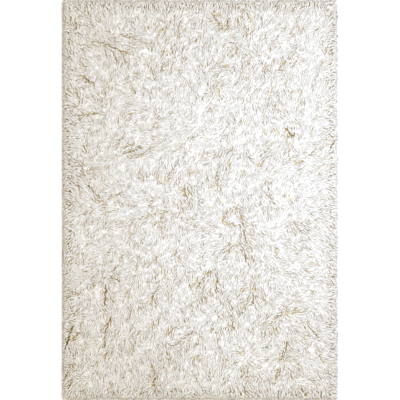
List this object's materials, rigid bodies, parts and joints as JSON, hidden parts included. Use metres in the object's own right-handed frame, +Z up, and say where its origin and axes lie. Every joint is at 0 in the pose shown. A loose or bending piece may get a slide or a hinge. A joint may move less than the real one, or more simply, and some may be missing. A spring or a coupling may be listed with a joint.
{
  "type": "shag rug",
  "caption": "Flat rectangular rug of long ivory wool pile lying in swirls and partings over a woven ground, to cover a floor softly.",
  "frame": {"origin": "middle of the flat underside, on the surface the rug lies on", "axes": "+Z up out of the pile, +Y along the rug's length, +X across its width"},
  "size_m": [1.4, 2.03, 0.0459],
  "materials": {
    "pile_wool": "matt undyed ivory wool in long soft locks, golden tan deep in the gaps between them"
  },
  "bodies": {
    "root": {"shag_rug": "pile_wool"}
  },
  "joints": []
}
